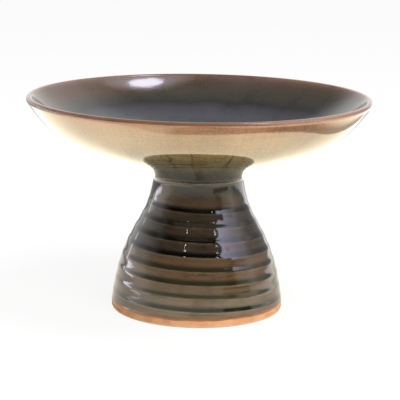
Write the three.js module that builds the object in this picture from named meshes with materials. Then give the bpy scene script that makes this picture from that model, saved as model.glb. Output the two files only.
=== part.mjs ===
// A stoneware footed plate: a wide shallow dish luted onto a hollow, spirally ridged pedestal foot.
// Millimetres, +Z up, origin at the centre of the ring that the foot stands on, -Y is the front.
import * as THREE from 'three';

// Driving dimensions
const RIM_RADIUS = 90;
const PLATE_HEIGHT = 113;
const FOOT_RADIUS = 45.5;
const NECK_RADIUS = 23.8;
const DISH_BASE_Z = 70.6;
const FOOT_TOP_Z = 69.2;
const LIP_RADIUS = 1.7;
const FLOOR_RADIUS = 12;
const FLOOR_Z = 77.5;
const FOOT_WALL = 5.9;
const SEAM_GAP = 0.3;

// The lip is a round roll. It starts and ends where it meets the underside and the bowl, in degrees
// round its own centre from the outward radius.
const LIP_START = -34;
const LIP_END = 140;

// Long stretches of the outlines are smooth curves. Each leaves and arrives at an angle, in degrees
// up from the outward radius, and keeps near that line for a reach.
const UNDERSIDE = { leaves: 23.5, leavesFor: 43, arrives: LIP_START + 90, arrivesFor: 28 };
const BOWL = { leaves: LIP_END + 90, leavesFor: 17, arrives: 184.5, arrivesFor: 38 };
const FOOT_OUTSIDE = { leaves: -82.7, leavesFor: 26, arrives: -84.3, arrivesFor: 41.4 };
const FOOT_INSIDE = { leaves: 94.9, leavesFor: 39.6, arrives: 96.9, arrivesFor: 27.4 };

// The standing ring: a rounded outer edge, a flat to stand on and a small inner bevel
const RING_ROUND = 1.5;
const RING_BEVEL = 0.8;
const WALL_END_Z = 3;

// The potter's spiral: one continuous finger groove that winds down the foot
const GROOVE_PITCH = 6.8;
const GROOVE_DEPTH = 0.25;
const GROOVE_TOP_Z = 55.8;
const GROOVE_DRIFT = 0.4;
const GROOVE_TURNS = 7;
const GROOVE_DEEPEST = 0.65;
const GROOVE_STARTS_Z = 62;
const GROOVE_FULL_Z = 56;
const GROOVE_EASES_Z = 8;
const GROOVE_ENDS_Z = 4.5;

// The seam: clay wiped into the outside corner and a coil pressed into the inside one
const FILLET_LOW_Z = 68;
const FILLET_WIDTH = 2.15;
const FILLET_RISE = 0.9;
const COIL_RADIUS = 2.6;
const COIL_CLEARANCE = 0.5;

// Facets round the axis, and chords along each stretch of outline
const DISH_SEGMENTS = 80;
const FOOT_SEGMENTS = 64;
const RING_SEGMENTS = 40;
const DISH_STEPS = 10;
const LIP_STEPS = 6;
const FOOT_STEPS = 8;
const EDGE_STEPS = 3;
const SEAM_STEPS = 5;
const COIL_STEPS = 10;
const NECK_ROW = 2.4;
const ROWS_PER_TURN = 5;

const { clamp, degToRad, smoothstep } = THREE.MathUtils;

// A point of an outline: x is the radius and y is the height
const at = (radius, height) => new THREE.Vector2(radius, height);

// The point a length away from another, at an angle in degrees
function away(from, degrees, length) {
  const angle = degToRad(degrees);
  return at(from.x + length * Math.cos(angle), from.y + length * Math.sin(angle));
}

// A smooth stretch between two points with the angles and reaches of a shape
function sweep(from, to, shape) {
  const lean = away(from, shape.leaves, shape.leavesFor);
  const pull = away(to, shape.arrives, -shape.arrivesFor);
  return new THREE.CubicBezierCurve(from, lean, pull, to);
}

// Points of a round stretch, angles in degrees from the outward radius
function arc(centre, radius, start, end, steps) {
  const points = [];
  for (let i = 0; i <= steps; i += 1) {
    points.push(away(centre, start + ((end - start) * i) / steps, radius));
  }
  return points;
}

// Turns an outline round +Z
function turned(outline, segments) {
  return new THREE.LatheGeometry(outline, segments).rotateX(Math.PI / 2);
}

// The radius at a height of a curve that goes steadily down, by bisection
function radiusAtHeight(curve, height) {
  let low = 0;
  let high = 1;
  for (let i = 0; i < 40; i += 1) {
    const middle = (low + high) / 2;
    if (curve.getPoint(middle).y > height) low = middle;
    else high = middle;
  }
  return curve.getPoint(low).x;
}

// The dish: flat under its middle, a long flaring underside, a round lip and a smooth bowl
function dishGeometry() {
  const lipCentre = at(RIM_RADIUS - LIP_RADIUS, PLATE_HEIGHT - LIP_RADIUS);
  const lip = arc(lipCentre, LIP_RADIUS, LIP_START, LIP_END, LIP_STEPS);
  const underside = sweep(at(NECK_RADIUS - SEAM_GAP, DISH_BASE_Z), lip[0], UNDERSIDE);
  const bowl = sweep(lip[LIP_STEPS], at(FLOOR_RADIUS, FLOOR_Z), BOWL);
  const outline = [
    at(0, DISH_BASE_Z),
    ...underside.getPoints(DISH_STEPS),
    ...lip.slice(1),
    ...bowl.getPoints(DISH_STEPS).slice(1),
    at(0, FLOOR_Z),
  ];
  return turned(outline, DISH_SEGMENTS);
}

// How deep the spiral groove lies below the ridges. Each turn leaves a crest, sinks slowly and
// comes back out over a short shoulder, because the fingers drew the clay upwards.
function grooveDepth(turnAngle, height) {
  const below = (GROOVE_TOP_Z - height) / GROOVE_PITCH;
  const share = clamp(below / GROOVE_TURNS, 0, 1);
  const drift = (GROOVE_DRIFT / GROOVE_PITCH) * Math.sin(Math.PI * share) ** 2;
  const turns = below - drift - turnAngle / (2 * Math.PI);
  const phase = turns - Math.floor(turns);
  const sinking = smoothstep(phase, 0, GROOVE_DEEPEST);
  const shoulder = 1 - smoothstep(phase, GROOVE_DEEPEST, 1);
  const fadeTop = 1 - smoothstep(height, GROOVE_FULL_Z, GROOVE_STARTS_Z);
  const fadeBottom = smoothstep(height, GROOVE_ENDS_Z, GROOVE_EASES_Z);
  return GROOVE_DEPTH * Math.min(sinking, shoulder) * fadeTop * fadeBottom;
}

// The foot's outer wall, from its top down to the standing ring
function footOutside() {
  return sweep(at(NECK_RADIUS, FOOT_TOP_Z), at(FOOT_RADIUS, WALL_END_Z), FOOT_OUTSIDE);
}

// The hollow foot, open at the bottom, with the groove pressed into its outer wall
function footGeometry() {
  const outside = footOutside();
  const wall = [];
  let height = FOOT_TOP_Z;
  while (height > WALL_END_Z) {
    wall.push(at(radiusAtHeight(outside, height), height));
    height -= height > GROOVE_STARTS_Z ? NECK_ROW : GROOVE_PITCH / ROWS_PER_TURN;
  }
  const edge = arc(at(FOOT_RADIUS - RING_ROUND, RING_ROUND), RING_ROUND, 0, -90, EDGE_STEPS);
  const ringInside = at(FOOT_RADIUS - FOOT_WALL, 0);
  const bevel = at(ringInside.x - RING_BEVEL, RING_BEVEL);
  const inside = sweep(bevel, at(NECK_RADIUS - FOOT_WALL, FOOT_TOP_Z), FOOT_INSIDE);
  const outline = [...wall, ...edge, ringInside, ...inside.getPoints(FOOT_STEPS), wall[0]];
  const geometry = turned(outline.reverse(), FOOT_SEGMENTS);
  const position = geometry.attributes.position;
  for (let i = 0; i < position.count; i += 1) {
    const x = position.getX(i);
    const y = position.getY(i);
    const z = position.getZ(i);
    const radius = Math.hypot(x, y);
    const wallRadius = radiusAtHeight(outside, Math.max(z, WALL_END_Z));
    if (radius > wallRadius - FOOT_WALL / 2) {
      const angleFromFront = Math.atan2(x, -y);
      const scale = (radius - grooveDepth(angleFromFront, z)) / radius;
      position.setXY(i, x * scale, y * scale);
    }
  }
  return geometry;
}

// The film of slip that sticks the foot's top to the scored underside of the dish
function slipGeometry() {
  const inner = NECK_RADIUS - FOOT_WALL + SEAM_GAP;
  const outer = NECK_RADIUS - SEAM_GAP;
  const low = FOOT_TOP_Z + SEAM_GAP;
  const high = DISH_BASE_Z - SEAM_GAP;
  const section = [at(inner, low), at(outer, low), at(outer, high), at(inner, high), at(inner, low)];
  return turned(section, RING_SEGMENTS);
}

// The soft clay wiped round the outside of the seam, a small hollow fillet
function outerFilletGeometry() {
  const inner = radiusAtHeight(footOutside(), FILLET_LOW_Z) + SEAM_GAP;
  const foot = at(inner, FILLET_LOW_Z);
  const back = at(inner, DISH_BASE_Z);
  const tip = at(inner + FILLET_WIDTH, DISH_BASE_Z + FILLET_RISE);
  const hollow = new THREE.QuadraticBezierCurve(foot, away(back, 0, SEAM_GAP), tip);
  return turned([...hollow.getPoints(SEAM_STEPS), back, foot], RING_SEGMENTS);
}

// The coil of clay pressed into the corner inside the hollow foot
function innerCoilGeometry() {
  const outer = NECK_RADIUS - FOOT_WALL - COIL_CLEARANCE;
  const centre = at(outer - COIL_RADIUS, DISH_BASE_Z - SEAM_GAP - COIL_RADIUS);
  const section = arc(centre, COIL_RADIUS, 0, 360, COIL_STEPS);
  section[COIL_STEPS] = section[0];
  return turned(section, RING_SEGMENTS);
}

function finish(color, roughness) {
  return new THREE.MeshStandardMaterial({ color, roughness, metalness: 0 });
}

function piece(name, geometry, material) {
  const mesh = new THREE.Mesh(geometry, material);
  mesh.name = name;
  return mesh;
}

const ashGlaze = finish(0x8c7a55, 0.18);
const ironGlaze = finish(0x4b3f33, 0.15);
const bareClay = finish(0xc09468, 0.88);

const plate = new THREE.Group();
plate.add(
  piece('dish', dishGeometry(), ashGlaze),
  piece('pedestal_foot', footGeometry(), ironGlaze),
  piece('luting_slip', slipGeometry(), bareClay),
  piece('outer_seam_fillet', outerFilletGeometry(), ironGlaze),
  piece('inner_seam_coil', innerCoilGeometry(), bareClay),
);

export default plate;
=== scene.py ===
"""Looks of a thrown and glazed stoneware footed plate, built round its fixed frame.

The dish, the ridged foot and the seam between them are turned as fine meshes that follow the
frame's solids, and each is dressed in a procedural glaze or in bare clay. Outlines are points of
radius and height in millimetres. Meshes, lamps and the camera are in Blender's metres.
"""

from __future__ import annotations

import logging
import math
from collections.abc import Sequence
from dataclasses import dataclass, field
from enum import Enum

import bmesh
import bpy
from mathutils import Matrix, Quaternion, Vector

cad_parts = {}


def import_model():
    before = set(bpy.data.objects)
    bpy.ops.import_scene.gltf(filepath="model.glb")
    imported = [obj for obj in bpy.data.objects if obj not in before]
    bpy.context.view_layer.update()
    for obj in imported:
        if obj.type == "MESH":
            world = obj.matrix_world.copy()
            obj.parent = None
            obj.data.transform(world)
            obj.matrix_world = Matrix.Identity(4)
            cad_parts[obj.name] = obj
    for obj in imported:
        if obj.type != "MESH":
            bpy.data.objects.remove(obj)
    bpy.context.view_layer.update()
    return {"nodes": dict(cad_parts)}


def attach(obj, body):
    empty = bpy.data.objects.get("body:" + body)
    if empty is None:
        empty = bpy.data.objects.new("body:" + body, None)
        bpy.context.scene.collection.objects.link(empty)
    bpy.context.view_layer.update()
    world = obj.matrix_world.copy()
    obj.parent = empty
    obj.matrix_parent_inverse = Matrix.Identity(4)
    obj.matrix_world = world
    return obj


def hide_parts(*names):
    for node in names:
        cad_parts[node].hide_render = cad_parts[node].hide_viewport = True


log = logging.getLogger("footed_plate")

MM = 0.001
BODY = "root"

Point = tuple[float, float]
Range = tuple[float, float]
Light = tuple[float, float, float]
Colour = tuple[float, float, float, float]
Socket = bpy.types.NodeSocket
Stops = Sequence[tuple[float, Colour]]

# Soft noise from 0 to 1 seldom leaves this range
NOISE_RANGE: Range = (0.3, 0.7)


class Slot(Enum):
    """The record's material slots."""

    DISH = "dish_glaze"
    FOOT = "foot_glaze"
    CLAY = "bare_clay"


class Side(Enum):
    """The dish's finishes, by their place in its list of materials."""

    OUTSIDE = 0
    INSIDE = 1
    BARE = 2


class Mark(Enum):
    """The numbers that a mesh keeps for its finish."""

    FROM_CREST = "from_crest"
    ON_OUTSIDE = "on_outside"
    POOL = "pool"
    CREST = "crest"
    GLAZED = "glazed"
    GLAZE_END = "glaze_end"


def srgb(red: int, green: int, blue: int) -> Colour:
    """Gives the linear colour of an sRGB colour.

    Args:
        red: Its red, 0 to 255.
        green: Its green.
        blue: Its blue.

    Returns:
        Linear red, green and blue, with an alpha of 1.
    """
    shares = [value / 255 for value in (red, green, blue)]
    linear = [s / 12.92 if s <= 0.04045 else ((s + 0.055) / 1.055) ** 2.4 for s in shares]
    return (*linear, 1.0)


@dataclass(frozen=True)
class Bend:
    """A cubic Bezier stretch of a turned outline."""

    start: Point
    lean: Point
    pull: Point
    end: Point

    def at(self, share: float) -> Point:
        """Gives the point at a share of the stretch.

        Args:
            share: From 0 at the start to 1 at the end.

        Returns:
            Its radius and height.
        """
        left = 1 - share
        weights = (left**3, 3 * share * left**2, 3 * share**2 * left, share**3)
        corners = (self.start, self.lean, self.pull, self.end)
        radius = sum(weight * corner[0] for weight, corner in zip(weights, corners))
        height = sum(weight * corner[1] for weight, corner in zip(weights, corners))
        return radius, height

    def points(self, steps: int) -> list[Point]:
        """Gives steps + 1 points from start to end."""
        return [self.at(i / steps) for i in range(steps + 1)]

    def share_where(self, axis: int, value: float) -> float:
        """Finds where a stretch that goes steadily one way passes a value, by bisection.

        Args:
            axis: 0 for the radius, 1 for the height.
            value: The radius or height to find.

        Returns:
            The share of the stretch there.
        """
        low, high = 0.0, 1.0
        rising = self.end[axis] > self.start[axis]
        for _ in range(40):
            middle = (low + high) / 2
            if (self.at(middle)[axis] < value) == rising:
                low = middle
            else:
                high = middle
        return low

    def radius_at(self, height: float) -> float:
        """Gives the radius at a height."""
        return self.at(self.share_where(1, height))[0]


@dataclass(frozen=True)
class Sweep:
    """The shape of a smooth stretch: its angles at both ends, in degrees, and its reaches."""

    leaves: float
    leaves_for: float
    arrives: float
    arrives_for: float

    def between(self, start: Point, end: Point) -> Bend:
        """Gives the stretch of this shape from one point to another."""
        lean = away(start, self.leaves, self.leaves_for)
        return Bend(start, lean, away(end, self.arrives, -self.arrives_for), end)


def away(start: Point, degrees: float, length: float) -> Point:
    """Gives the point a length away from another.

    Args:
        start: The point to go from.
        degrees: The direction, up from the outward radius.
        length: How far to go.

    Returns:
        The point there.
    """
    angle = math.radians(degrees)
    return start[0] + length * math.cos(angle), start[1] + length * math.sin(angle)


def arc(centre: Point, radius: float, start: float, end: float, steps: int) -> list[Point]:
    """Gives the points of a round stretch.

    Args:
        centre: Radius and height of its centre.
        radius: Its own radius.
        start: Angle of its first point, in degrees from the outward radius.
        end: Angle of its last point.
        steps: How many chords it has.

    Returns:
        steps + 1 points.
    """
    return [away(centre, start + (end - start) * i / steps, radius) for i in range(steps + 1)]


def turn(
    name: str,
    outline: list[Point],
    marks: dict[Mark, list[float]],
    segments: int,
    closed: bool,
) -> bpy.types.Object:
    """Turns an outline round +Z into a smooth mesh.

    Args:
        name: The piece's name.
        outline: Points of radius and height. Only its two ends may be on the axis.
        marks: A number for each point of the outline, kept as an attribute.
        segments: How many facets go round the axis.
        closed: True if the last point joins the first.

    Returns:
        The new object, at the origin, with its faces pointing out.
    """
    work = bmesh.new()
    layers = {mark: work.verts.layers.float.new(mark.value) for mark in marks}
    rings: list[list[bmesh.types.BMVert]] = []
    for index, (radius, height) in enumerate(outline):
        on_axis = radius < MM
        ring = []
        for step in range(1 if on_axis else segments):
            angle = 2 * math.pi * step / segments
            spot = Vector((radius * math.sin(angle), -radius * math.cos(angle), height))
            vertex = work.verts.new(spot * MM)
            for mark, layer in layers.items():
                vertex[layer] = marks[mark][index]
            ring.append(vertex)
        rings.append(ring)
    pairs = list(zip(rings, rings[1:]))
    if closed:
        pairs.append((rings[-1], rings[0]))
    for first, second in pairs:
        for step in range(segments):
            ahead = (step + 1) % segments
            corners = [
                first[step % len(first)],
                first[ahead % len(first)],
                second[ahead % len(second)],
                second[step % len(second)],
            ]
            work.faces.new(list(dict.fromkeys(corners)))
    bmesh.ops.recalc_face_normals(work, faces=work.faces)
    mesh = bpy.data.meshes.new(name)
    work.to_mesh(mesh)
    work.free()
    mesh.polygons.foreach_set("use_smooth", [True] * len(mesh.polygons))
    piece = bpy.data.objects.new(name, mesh)
    bpy.context.scene.collection.objects.link(piece)
    return piece


class Graph:
    """Adds nodes to a shader or geometry tree and wires them as they are made."""

    def __init__(self, tree: bpy.types.NodeTree) -> None:
        """Keeps the tree that the nodes go into."""
        self.tree = tree

    def add(self, kind: str, **settings: object) -> bpy.types.Node:
        """Adds a node of a kind and sets its own properties.

        Args:
            kind: The node's type.
            settings: Its properties by name.

        Returns:
            The new node.
        """
        node = self.tree.nodes.new(kind)
        for key, value in settings.items():
            setattr(node, key, value)
        return node

    def feed(self, socket: Socket, value: object) -> None:
        """Wires a socket to another, or sets its value.

        Args:
            socket: The input to feed.
            value: The output that feeds it, or a plain value.
        """
        if isinstance(value, bpy.types.NodeSocket):
            self.tree.links.new(value, socket)
        else:
            socket.default_value = value

    def math(self, operation: str, *values: object, clamp: bool = False) -> Socket:
        """Adds a math node.

        Args:
            operation: What it does, such as ADD.
            values: Numbers or sockets that it does it to.
            clamp: True to keep the result from 0 to 1.

        Returns:
            The socket of its result.
        """
        node = self.add("ShaderNodeMath", operation=operation, use_clamp=clamp)
        for socket, value in zip(node.inputs, values):
            self.feed(socket, value)
        return node.outputs[0]

    def product(self, *values: object) -> Socket:
        """Multiplies two or more numbers or sockets.

        Args:
            values: What to multiply, in order.

        Returns:
            The socket of the result.
        """
        result = values[0]
        for value in values[1:]:
            result = self.math("MULTIPLY", result, value)
        return result

    def weighted(self, *parts: tuple[Socket, float]) -> Socket:
        """Adds sockets up, each times its weight.

        Args:
            parts: Each socket and its weight.

        Returns:
            The socket of the result.
        """
        terms = [self.product(value, weight) for value, weight in parts]
        total = terms[0]
        for term in terms[1:]:
            total = self.math("ADD", total, term)
        return total

    def rest(self, share: object) -> Socket:
        """Gives what a share leaves of 1."""
        return self.math("SUBTRACT", 1.0, share)

    def length(self, first: Socket, second: Socket) -> Socket:
        """Gives the length of what goes one number across and another along."""
        squares = [self.product(value, value) for value in (first, second)]
        return self.math("SQRT", self.math("ADD", *squares))

    def ease(
        self, value: object, start: object, end: object, low: float = 0.0, high: float = 1.0
    ) -> Socket:
        """Goes smoothly from one number to another as a value passes a range.

        Args:
            value: The value to follow.
            start: Where the change begins.
            end: Where it is complete.
            low: The result up to the start.
            high: The result from the end on.

        Returns:
            The socket of the result.
        """
        node = self.add("ShaderNodeMapRange", interpolation_type="SMOOTHSTEP")
        given = {
            "Value": value,
            "From Min": start,
            "From Max": end,
            "To Min": low,
            "To Max": high,
        }
        for name, number in given.items():
            self.feed(node.inputs[name], number)
        return node.outputs["Result"]

    def fall(self, value: object, start: object, end: object) -> Socket:
        """Gives 1 up to the start of a range, 0 from its end on, and a soft change in it."""
        return self.ease(value, start, end, 1.0, 0.0)

    def between(self, value: object, start: Range, end: Range) -> Socket:
        """Gives 1 inside a range of a value and 0 outside it, with soft ends.

        Args:
            value: The value to follow.
            start: Where the rise begins and where it is complete.
            end: Where the fall begins and where it is complete.

        Returns:
            The socket of the result.
        """
        return self.product(self.ease(value, *start), self.fall(value, *end))

    def vector(self, x: object, y: object, z: object) -> Socket:
        """Joins three numbers into a vector.

        Args:
            x: The first number or its socket.
            y: The second.
            z: The third.

        Returns:
            The socket of the vector.
        """
        node = self.add("ShaderNodeCombineXYZ")
        for socket, value in zip(node.inputs, (x, y, z)):
            self.feed(socket, value)
        return node.outputs[0]

    def split(self, vector: Socket) -> list[Socket]:
        """Gives the three numbers of a vector.

        Args:
            vector: The socket of the vector.

        Returns:
            The sockets of its numbers.
        """
        node = self.add("ShaderNodeSeparateXYZ")
        self.feed(node.inputs[0], vector)
        return list(node.outputs)

    def scaled(self, vector: object, factor: object) -> Socket:
        """Makes a vector longer or shorter.

        Args:
            vector: The vector or its socket.
            factor: How many times as long it becomes.

        Returns:
            The socket of the new vector.
        """
        node = self.add("ShaderNodeVectorMath", operation="SCALE")
        self.feed(node.inputs[0], vector)
        self.feed(node.inputs["Scale"], factor)
        return node.outputs[0]

    def dot(self, first: object, second: object) -> Socket:
        """Gives how far one vector goes along another.

        Args:
            first: The vector or its socket.
            second: The direction that it is measured along.

        Returns:
            The socket of the result.
        """
        node = self.add("ShaderNodeVectorMath", operation="DOT_PRODUCT")
        self.feed(node.inputs[0], first)
        self.feed(node.inputs[1], second)
        return node.outputs["Value"]

    def sum(self, first: object, second: object) -> Socket:
        """Adds two vectors.

        Args:
            first: One vector or its socket.
            second: The other.

        Returns:
            The socket of their sum.
        """
        node = self.add("ShaderNodeVectorMath", operation="ADD")
        self.feed(node.inputs[0], first)
        self.feed(node.inputs[1], second)
        return node.outputs[0]

    def lifted(self, vector: Socket) -> Socket:
        """Raises what is below 0 in a vector to 0.

        Args:
            vector: The socket of the vector.

        Returns:
            The socket of the new vector.
        """
        node = self.add("ShaderNodeVectorMath", operation="MAXIMUM")
        self.feed(node.inputs[0], vector)
        return node.outputs[0]

    def unit(self, vector: Socket) -> Socket:
        """Gives the direction of a vector.

        Args:
            vector: The socket of the vector.

        Returns:
            The socket of a vector of length 1.
        """
        node = self.add("ShaderNodeVectorMath", operation="NORMALIZE")
        self.feed(node.inputs[0], vector)
        return node.outputs[0]

    def noise(self, vector: Socket, scale: float, detail: float, rough: float = 0.5) -> Socket:
        """Gives soft noise round a half.

        Args:
            vector: Where to read it.
            scale: How many blots there are to the unit of the vector.
            detail: How many finer layers it has.
            rough: How strong the finer layers are.

        Returns:
            The socket of the noise, from 0 to 1.
        """
        node = self.add("ShaderNodeTexNoise")
        self.feed(node.inputs["Vector"], vector)
        node.inputs["Scale"].default_value = scale
        node.inputs["Detail"].default_value = detail
        node.inputs["Roughness"].default_value = rough
        return node.outputs[0]

    def wander(self, vector: Socket, scale: float, detail: float, width: float) -> Socket:
        """Gives soft noise that wanders to both sides of 0, over a width."""
        return self.product(self.math("SUBTRACT", self.noise(vector, scale, detail), 0.5), width)

    def mix(self, share: object, first: object, second: object, blend: str = "MIX") -> Socket:
        """Mixes two colours.

        Args:
            share: How much of the second there is.
            first: The colour underneath.
            second: The colour on top.
            blend: How they mix, such as MULTIPLY.

        Returns:
            The socket of the mixed colour.
        """
        node = self.add("ShaderNodeMix", data_type="RGBA", blend_type=blend)
        colours = [socket for socket in node.inputs if socket.type == "RGBA"]
        self.feed(node.inputs["Factor"], share)
        self.feed(colours[0], first)
        self.feed(colours[1], second)
        return next(socket for socket in node.outputs if socket.type == "RGBA")

    def ramp(self, value: object, stops: Stops) -> Socket:
        """Gives a colour by a value from 0 to 1.

        Args:
            value: The value to follow.
            stops: Places from 0 to 1 and their colours, in order.

        Returns:
            The socket of the colour.
        """
        node = self.add("ShaderNodeValToRGB")
        self.feed(node.inputs[0], value)
        elements = node.color_ramp.elements
        elements[0].position, elements[0].color = stops[0]
        elements[1].position, elements[1].color = stops[-1]
        for position, colour in stops[1:-1]:
            elements.new(position).color = colour
        return node.outputs["Color"]

    def tones(self, value: Socket, stops: Stops, reach: float) -> Socket:
        """Gives a colour by a value in millimetres.

        Args:
            value: The value to follow, from 0 to the reach.
            stops: Places in millimetres and their colours, in order.
            reach: The end of the range.

        Returns:
            The socket of the colour.
        """
        share = self.math("DIVIDE", value, reach, clamp=True)
        return self.ramp(share, [(place / reach, colour) for place, colour in stops])

    def attribute(self, mark: Mark) -> Socket:
        """Gives the number that a mesh keeps under a mark."""
        node = self.add("ShaderNodeAttribute", attribute_name=mark.value)
        return node.outputs["Fac"]

    def store(self, geometry: Socket, kept: dict[Mark, Socket]) -> Socket:
        """Keeps numbers on the points of a geometry.

        Args:
            geometry: The socket of the geometry.
            kept: The socket of each mark's number.

        Returns:
            The socket of the geometry that keeps them.
        """
        for mark, value in kept.items():
            node = self.add("GeometryNodeStoreNamedAttribute", data_type="FLOAT", domain="POINT")
            node.inputs["Name"].default_value = mark.value
            self.feed(node.inputs["Geometry"], geometry)
            self.feed(node.inputs["Value"], value)
            geometry = node.outputs["Geometry"]
        return geometry

    def bump(self, height: Socket, depth: float) -> Socket:
        """Gives a normal raised by a height from 0 to 1, over a depth in millimetres.

        Args:
            height: The socket of the height.
            depth: How far the surface rises from a height of 0 to 1.

        Returns:
            The socket of the normal.
        """
        node = self.add("ShaderNodeBump")
        node.inputs["Distance"].default_value = depth * MM
        self.feed(node.inputs["Height"], height)
        return node.outputs[0]


class Place:
    """Where a shaded point lies: in millimetres, its height and its direction round the axis."""

    def __init__(self, graph: Graph) -> None:
        """Adds the nodes that read it from the object's own coordinates.

        Args:
            graph: The material's graph.
        """
        coordinates = graph.add("ShaderNodeTexCoord").outputs["Object"]
        self.spot = graph.scaled(coordinates, 1 / MM)
        x, y, self.z = graph.split(self.spot)
        self.around = graph.unit(graph.vector(x, y, 0.0))
        self.to_right, self.to_back, _ = graph.split(self.around)
        self.graph = graph

    def brushed(self, scale: float, along: Socket) -> Socket:
        """Gives a place for a pattern that is drawn out round the axis.

        Args:
            scale: How fast it changes round the axis.
            along: How far the point is up or out, in millimetres.

        Returns:
            The socket of the place.
        """
        to_right = self.graph.product(self.to_right, scale)
        to_back = self.graph.product(self.to_back, scale)
        return self.graph.vector(to_right, to_back, along)


@dataclass(frozen=True)
class Grain:
    """A layer of soft noise, and how much it counts for among other layers."""

    scale: float
    weight: float = 1.0
    detail: float = 4.0
    rough: float = 0.6

    def over(self, graph: Graph, where: Socket) -> Socket:
        """Adds the layer's noise over a place."""
        return graph.noise(where, self.scale, self.detail, self.rough)


@dataclass(frozen=True)
class Mottle:
    """How uneven a glaze is: what it is multiplied by where a pattern is low, half and high."""

    dark: Colour
    plain: Colour
    pale: Colour
    low: float = 0.36
    high: float = 0.64
    share: float = 1.0

    def over(self, graph: Graph, colour: Socket, pattern: Socket) -> Socket:
        """Mottles a colour.

        Args:
            graph: The material's graph.
            colour: The socket of the even colour.
            pattern: The socket of the pattern, from 0 to 1.

        Returns:
            The socket of the mottled colour.
        """
        stops = ((self.low, self.dark), (0.5, self.plain), (self.high, self.pale))
        return graph.mix(self.share, colour, graph.ramp(pattern, stops), "MULTIPLY")


def new_material(name: str) -> tuple[bpy.types.Material, Graph]:
    """Makes an empty node material and its graph.

    Args:
        name: The material's name.

    Returns:
        The material and the graph of its tree.
    """
    material = bpy.data.materials.new(name)
    material.use_nodes = True
    material.node_tree.nodes.clear()
    return material, Graph(material.node_tree)


def finish_material(graph: Graph, shader: Socket) -> None:
    """Wires a shader to the material's output."""
    output = graph.add("ShaderNodeOutputMaterial")
    graph.feed(output.inputs["Surface"], shader)


@dataclass(frozen=True)
class Shine:
    """How a surface shines, which is the same all over it."""

    ior: float = 1.5
    coat: float = 0.0
    coat_ior: float = 1.5
    coat_roughness: float = 0.03
    tint: Colour = (1.0, 1.0, 1.0, 1.0)

    def shader(self, graph: Graph, colour: Socket, roughness: object, normal: Socket) -> Socket:
        """Adds the shader of a surface that shines this way.

        Args:
            graph: The material's graph.
            colour: The socket of its colour.
            roughness: Its roughness, or the socket of it.
            normal: The socket of its bumped normal.

        Returns:
            The shader's own socket.
        """
        node = graph.add("ShaderNodeBsdfPrincipled")
        graph.feed(node.inputs["Base Color"], colour)
        graph.feed(node.inputs["Roughness"], roughness)
        graph.feed(node.inputs["Normal"], normal)
        node.inputs["IOR"].default_value = self.ior
        node.inputs["Specular Tint"].default_value = self.tint
        node.inputs["Coat Weight"].default_value = self.coat
        node.inputs["Coat IOR"].default_value = self.coat_ior
        node.inputs["Coat Roughness"].default_value = self.coat_roughness
        return node.outputs[0]


@dataclass(frozen=True)
class BareClay:
    """Dry orange-buff fired stoneware."""

    stops: Stops = (
        (0.3, srgb(196, 128, 80)),
        (0.5, srgb(234, 170, 118)),
        (0.7, srgb(238, 190, 146)),
    )
    grain: Grain = Grain(2.2, 0.5, detail=6.0, rough=0.7)
    blush: Grain = Grain(0.12, 0.5, detail=2.0, rough=0.5)
    roughness: float = 0.82
    relief: float = 0.12
    shine: Shine = Shine()

    def layers(self, graph: Graph, place: Place) -> tuple[Socket, Socket]:
        """Adds the clay's colour and grain.

        Args:
            graph: The material's graph.
            place: Where the shaded point lies.

        Returns:
            The sockets of its colour and of its grain's height.
        """
        grain = self.grain.over(graph, place.spot)
        blush = self.blush.over(graph, place.spot)
        share = graph.weighted((grain, self.grain.weight), (blush, self.blush.weight))
        return graph.ramp(share, self.stops), grain

    def material(self) -> bpy.types.Material:
        """Makes the clay's material.

        Returns:
            The material, for any bare part.
        """
        material, graph = new_material(Slot.CLAY.value)
        colour, grain = self.layers(graph, Place(graph))
        normal = graph.bump(grain, self.relief)
        finish_material(graph, self.shine.shader(graph, colour, self.roughness, normal))
        return material


@dataclass(frozen=True)
class LipBand:
    """The band at the lip where both glazes are thin, with an edge that wanders."""

    width: float = 2.5
    wander: float = 2.2
    wander_scale: float = 6.0
    wander_detail: float = 5.0
    edge: Range = (-0.25, 0.35)

    def over(self, graph: Graph, place: Place, below: Socket) -> Socket:
        """Tells the band from the glaze past it.

        Args:
            graph: The material's graph.
            place: Where the shaded point lies.
            below: How far the point is outside the lip's crest, in millimetres.

        Returns:
            The socket of a number that is 1 in the band and 0 past its edge.
        """
        wander = graph.wander(place.around, self.wander_scale, self.wander_detail, self.wander)
        edge = graph.math("ADD", wander, self.width)
        return graph.fall(graph.math("SUBTRACT", below, edge), *self.edge)


@dataclass(frozen=True)
class Cracks:
    """The fine cracks that run from the foot towards the lip."""

    colour: Colour = srgb(30, 32, 20)
    round_scale: float = 4.5
    length: float = 160.0
    wobble: float = 0.25
    wobble_scale: float = 0.15
    wobble_detail: float = 3.0
    width: Range = (0.004, 0.03)
    starts: Range = (12.0, 35.0)
    depth: float = 0.95

    def over(self, graph: Graph, place: Place, below: Socket, colour: Socket) -> Socket:
        """Draws the cracks on a glaze.

        Args:
            graph: The material's graph.
            place: Where the shaded point lies.
            below: How far the point is outside the lip's crest, in millimetres.
            colour: The socket of the glaze's colour.

        Returns:
            The socket of the cracked colour.
        """
        wobble = graph.wander(place.spot, self.wobble_scale, self.wobble_detail, self.wobble)
        cells = graph.vector(
            graph.math("ADD", graph.product(place.to_right, self.round_scale), wobble),
            graph.product(place.to_back, self.round_scale),
            graph.math("DIVIDE", place.z, self.length),
        )
        node = graph.add("ShaderNodeTexVoronoi", feature="DISTANCE_TO_EDGE")
        node.inputs["Scale"].default_value = 1.0
        graph.feed(node.inputs["Vector"], cells)
        crack = graph.fall(node.outputs["Distance"], *self.width)
        share = graph.product(crack, graph.ease(below, *self.starts, 0.0, self.depth))
        return graph.mix(share, colour, self.colour)


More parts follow.
